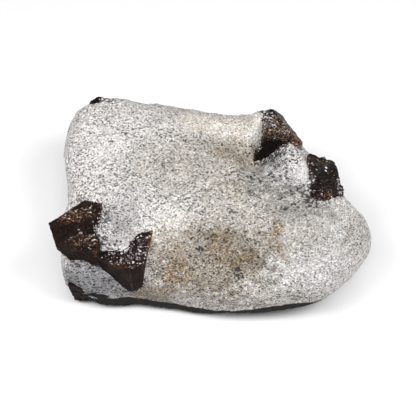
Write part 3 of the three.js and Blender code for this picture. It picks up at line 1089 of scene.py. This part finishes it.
def staurolite_finish(name, flecks=(), tans=(), rusts=(), laps=(), coats=(), shine=0.05,
                      rough=0.45, base=1.0, wear=0.3, relief=0.7):
    """Dark brown with patches of silver flecks, tan crumbs and rust. laps are the patches
    where rock laps over the crystal's foot, and coats those where it covers any height.
    shine is how strongly light glances off, rough the middle of the roughness, base the
    brown's brightness, wear the paleness of its edges and relief the strength of its bump."""
    material, tree = new_finish(name)
    place = millimetres(tree)
    ragged = noise(tree, place, **STAUROLITE_OUTLINES)
    grain = noise(tree, place, **STAUROLITE_GRAIN)
    colour = worn(tree, ragged, wear, bare_crystal(tree, place, grain, base))
    crust = patches(tree, place, ragged, tans)
    rust = patches(tree, place, ragged, rusts)
    colour = crust_and_rust(tree, grain, crust, rust, colour)
    colour = crumbs_over(tree, place, crust, colour)
    mica = use(tree, plates, Place=place, **MICA_PLATES)
    share = times(tree, patches(tree, place, ragged, flecks), FLECK_SHARE)
    colour = flakes_over(tree, colour, share, mica, **FLECK_TONES)
    share = rock_cover(tree, place, ragged, laps, coats)
    colour = flakes_over(tree, colour, share, mica, **ROCK_TONES)
    rough = between(tree, grain, *GRAIN_SPREAD, rough - SMOOTHER, rough + ROUGHER)
    bump = put(tree, "ShaderNodeBump", Strength=relief, Distance=STAUROLITE_BUMP_DEPTH,
               Height=grain)
    set_shader(tree, Base_Color=colour, Roughness=rough, Normal=bump.outputs[0],
               Specular_IOR_Level=shine)
    return material


# %% [markdown]
# ## A finish for each crystal
#
# The left cross is velvety and dark, with silver flecks and tan crumbs on its ends. The
# right cross is glossier: one arm carries a crust with orange rust and the other sharp
# ridges with pale edges, and two small patches of white flecks on its ridges are painted
# highlights. The corner crystal is nearly bare, and rock coats part of the crystal on the
# back edge. Each patch is again a strength, a centre and a half-size.

# %% Finishes of the crystals
FINISHES = {
    "left_cross": staurolite_finish(
        "left cross staurolite",
        flecks=[(0.16, (-40.5, -13, 24.5), (5, 3, 3)), (0.22, (-35.5, -23, 24.5), (5, 4.5, 3)),
                (0.65, (-22.5, -24.5, 21), (8.5, 7, 1.6))],
        tans=[(0.85, (-40.5, -13.6, 24.5), (6.5, 3.4, 3)),
              (0.7, (-35.6, -23.2, 24.5), (4.6, 2.8, 3)), (0.4, (-34, -11.5, 24.5), (3, 4, 3))],
        rusts=[(0.35, (-33.0, -25.0, 24), (0.8, 1.0, 3)), (0.3, (-32.4, -28, 24), (0.9, 1.8, 3)),
               (1.0, (-17.2, -23.5, 18), (1.2, 8, 5)), (0.2, (-27, -29.6, 20), (7, 1.2, 1.2)),
               (0.2, (-41, -15, 24.5), (4, 2, 3))],
        laps=[(0.30, (-21, -24, 21), (11, 9, 8)), (0.10, (-36, -16, 24), (9, 12, 8))],
        base=0.85),
    "right_cross": staurolite_finish(
        "right cross staurolite",
        # Painted highlights: the two small, dense fleck patches on the ridged arm, at (39.2, -1.8)
        # and (31.0, 0.8), are white glints on its glossy ridges.
        flecks=[(0.8, (17.2, 22.6, 30), (4, 4.5, 3)), (0.3, (21, 18.5, 30), (6, 5.5, 3)),
                (0.9, (39.2, -1.8, 24.4), (1.5, 3.2, 4)), (1.0, (31.0, 0.8, 25), (0.9, 2.2, 3)),
                (0.06, (34, 2, 26), (5, 8, 3))],
        tans=[(1.0, (20.5, 18, 30), (7, 6, 2.2)), (1.0, (26, 17, 28), (6, 6, 5)),
              (0.9, (25.5, 19, 27.5), (3, 8, 4)), (0.5, (33, 7, 26), (6, 2, 3)),
              (0.5, (34, -5.5, 24), (3.5, 2.6, 3)), (0.12, (34, 0, 25), (6, 5, 3))],
        rusts=[(0.4, (27.7, 12, 28), (2.4, 1.6, 3)), (0.4, (13.4, 12.0, 20), (1.0, 1.6, 3)),
               (0.35, (34.6, -5, 24), (1.6, 1.4, 3)), (0.2, (26.5, 16, 27.5), (3, 6, 4))],
        laps=[(1.0, (15.0, 20, 28), (3.4, 8, 8)), (0.15, (34, -1, 24), (7, 10, 8)),
              (0.3, (23, 12, 28), (9, 3, 4))],
        coats=[(0.75, (14.9, 19, 28), (1.7, 7, 7))],
        shine=0.13, rough=0.22, base=0.4, wear=0.7, relief=1.0),
    "corner_crystal": staurolite_finish(
        "corner staurolite", tans=[(0.15, (-37, -29, 4), (6, 3, 3))], base=0.5),
    "edge_crystal": staurolite_finish(
        "edge staurolite", flecks=[(0.9, (-32.0, 32.5, 27.5), (2.4, 5, 4))],
        coats=[(0.6, (-33.0, 33, 27.7), (2.4, 3, 3))], base=0.4),
}

# %% [markdown]
# ## Dress the pieces
#
# In the frame each plain solid is a node. A dressed piece takes its place: it gets its
# finish, it is told which body it rides on, and the node that it stands in for is hidden.
# Nothing on a stone moves, so all of its pieces ride on the root.

# %% Dress the pieces and set them in the frame
def seat(piece, node, material):
    """Gives a piece its finish and its place in the frame, instead of the plain solid."""
    piece.data.materials.clear()
    piece.data.materials.append(material)
    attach(piece, "root")
    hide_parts(node)


seat(stone, "matrix", schist_finish())
for name, piece in crystals.items():
    seat(piece, name, FINISHES[name])

# %% [markdown]
# ## The table
#
# A mineral is shown best on plain white. A sheet of matt paper is one square far larger
# than the picture, a little short of full white, so that the shadows on it can be seen.

# %% Table
FLOOR_HALF = 1.2
PAPER_WHITE = (0.80, 0.80, 0.805)
PAPER_ROUGH = 0.9
PAPER_SHINE = 0.2
floor_mesh = bpy.data.meshes.new("table")
floor_mesh.from_pydata(
    [(x * FLOOR_HALF, y * FLOOR_HALF, 0) for x, y in ((-1, -1), (1, -1), (1, 1), (-1, 1))],
    [], [(0, 1, 2, 3)])
floor = bpy.data.objects.new("table", floor_mesh)
bpy.context.scene.collection.objects.link(floor)
paper, paper_tree = new_finish("white paper")
set_shader(paper_tree, Base_Color=rgba(PAPER_WHITE), Roughness=PAPER_ROUGH,
           Specular_IOR_Level=PAPER_SHINE)
floor_mesh.materials.append(paper)
floor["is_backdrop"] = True

# %% [markdown]
# ## The light
#
# Soft light from both sides shows the relief without hard shadows. Two equal area lights
# stand left and right, a little to the front, a large one hangs high in front of the stone,
# and a faint one behind it picks out the back rim. The room adds a little light from all
# round.

# %% Lights
def softbox(name, place, size, power):
    """A square area light at a place in metres, turned to face the stone."""
    lamp = bpy.data.lights.new(name, "AREA")
    lamp.size = size
    lamp.energy = power
    light = bpy.data.objects.new(name, lamp)
    bpy.context.scene.collection.objects.link(light)
    light.location = place
    towards = -np.array(place, float)
    pitch = math.atan2(math.hypot(towards[0], towards[1]), -towards[2])
    light.rotation_euler = (pitch, 0, math.atan2(-towards[0], towards[1]))
    print(name, "is", size, "m wide and gives", power, "W")


softbox("softbox_left", (-0.34, -0.14, 0.44), 0.26, 1.85)
softbox("softbox_right", (0.34, -0.14, 0.44), 0.26, 1.85)
softbox("softbox_front", (0.0, -0.28, 0.57), 0.40, 1.8)
softbox("softbox_back", (0.05, 0.32, 0.42), 0.30, 0.3)
ROOM_LIGHT = 0.20
world = bpy.data.worlds.new("room")
world.use_nodes = True
world.node_tree.nodes["Background"].inputs["Color"].default_value = (1, 1, 1, 1)
world.node_tree.nodes["Background"].inputs["Strength"].default_value = ROOM_LIGHT
bpy.context.scene.world = world
bpy.context.scene.view_settings.view_transform = "Standard"

# %% [markdown]
# ## The camera
#
# The camera looks down at the stone from its front. A long lens a forearm's length away
# keeps the far side of the stone nearly as large as the near side.

# %% Camera
LOOK_DOWN = math.radians(48)
DISTANCE = 0.305
LENS = 85
SENSOR = 36
AIM = (np.array([-0.46, 0, 12]) + MIDDLE) * MM
camera = bpy.data.objects.new("camera", bpy.data.cameras.new("camera"))
camera.data.lens = LENS
camera.data.sensor_width = SENSOR
camera.location = AIM + DISTANCE * np.array([0, -math.cos(LOOK_DOWN), math.sin(LOOK_DOWN)])
camera.rotation_euler = (math.pi / 2 - LOOK_DOWN, 0, 0)
bpy.context.scene.collection.objects.link(camera)
bpy.context.scene.camera = camera
print("the camera stands", DISTANCE, "m away, with a lens of", LENS, "mm")
